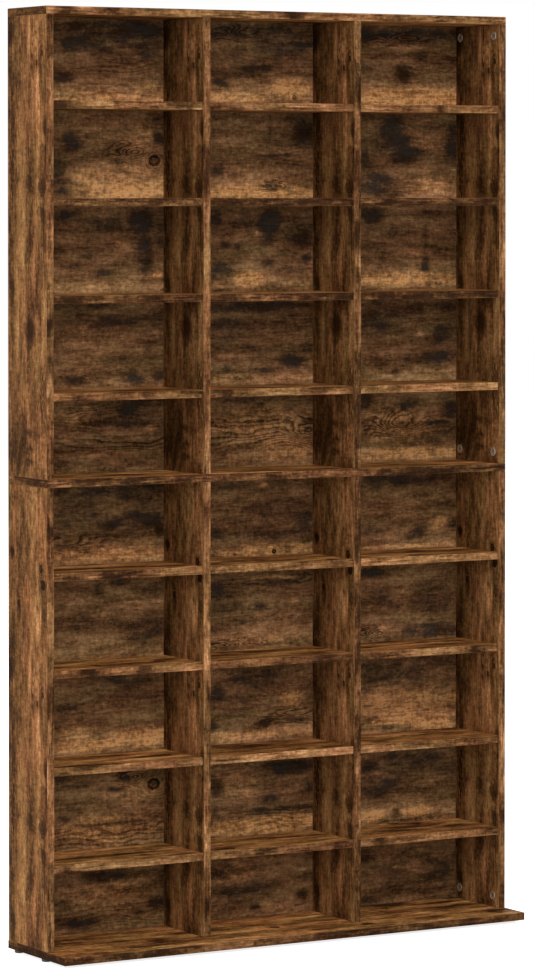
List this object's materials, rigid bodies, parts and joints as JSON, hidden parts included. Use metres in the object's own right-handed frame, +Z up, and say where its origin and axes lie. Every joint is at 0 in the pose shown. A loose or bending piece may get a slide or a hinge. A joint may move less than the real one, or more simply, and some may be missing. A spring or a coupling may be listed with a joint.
{
  "type": "cd dvd storage tower",
  "caption": "Tall open storage tower for discs: two stacked three-column shelf units in smoked-oak board on a deeper base plate.",
  "frame": {"origin": "on the floor, under the middle of the base plate's outline", "axes": "+Z up, the open front faces -Y, +X to the right as seen from the front"},
  "size_m": [1.02, 0.23, 1.781],
  "materials": {
    "oak_boards": "smoked-oak decor foil, satin",
    "back_panels": "smoked-oak decor foil on thin hardboard, satin",
    "cam_zinc": "zinc-plated, dull",
    "glide_plastic": "matt"
  },
  "bodies": {
    "root": {"base_plate": "oak_boards", "middle_board": "oak_boards", "top_board": "oak_boards", "lower_side_left": "oak_boards", "lower_divider_left": "oak_boards", "lower_divider_right": "oak_boards", "lower_side_right": "oak_boards", "shelf_lower_left_1": "oak_boards", "shelf_lower_left_2": "oak_boards", "shelf_lower_left_3": "oak_boards", "shelf_lower_left_4": "oak_boards", "back_lower_left": "back_panels", "shelf_lower_middle_1": "oak_boards", "shelf_lower_middle_2": "oak_boards", "shelf_lower_middle_3": "oak_boards", "shelf_lower_middle_4": "oak_boards", "back_lower_middle": "back_panels", "shelf_lower_right_1": "oak_boards", "shelf_lower_right_2": "oak_boards", "shelf_lower_right_3": "oak_boards", "shelf_lower_right_4": "oak_boards", "back_lower_right": "back_panels", "cam_lock_lower_left_bottom_front": "cam_zinc", "cam_lock_lower_left_bottom_rear": "cam_zinc", "cam_lock_lower_right_bottom_front": "cam_zinc", "cam_lock_lower_right_bottom_rear": "cam_zinc", "upper_side_left": "oak_boards", "upper_divider_left": "oak_boards", "upper_divider_right": "oak_boards", "upper_side_right": "oak_boards", "shelf_upper_left_1": "oak_boards", "shelf_upper_left_2": "oak_boards", "shelf_upper_left_3": "oak_boards", "shelf_upper_left_4": "oak_boards", "back_upper_left": "back_panels", "shelf_upper_middle_1": "oak_boards", "shelf_upper_middle_2": "oak_boards", "shelf_upper_middle_3": "oak_boards", "shelf_upper_middle_4": "oak_boards", "back_upper_middle": "back_panels", "shelf_upper_right_1": "oak_boards", "shelf_upper_right_2": "oak_boards", "shelf_upper_right_3": "oak_boards", "shelf_upper_right_4": "oak_boards", "back_upper_right": "back_panels", "cam_lock_upper_left_bottom_front": "cam_zinc", "cam_lock_upper_left_bottom_rear": "cam_zinc", "cam_lock_upper_left_top_front": "cam_zinc", "cam_lock_upper_left_top_rear": "cam_zinc", "cam_lock_upper_right_bottom_front": "cam_zinc", "cam_lock_upper_right_bottom_rear": "cam_zinc", "cam_lock_upper_right_top_front": "cam_zinc", "cam_lock_upper_right_top_rear": "cam_zinc", "foot_left_front": "glide_plastic", "foot_left_rear": "glide_plastic", "foot_middle_front": "glide_plastic", "foot_middle_rear": "glide_plastic", "foot_right_front": "glide_plastic", "foot_right_rear": "glide_plastic"}
  },
  "joints": []
}
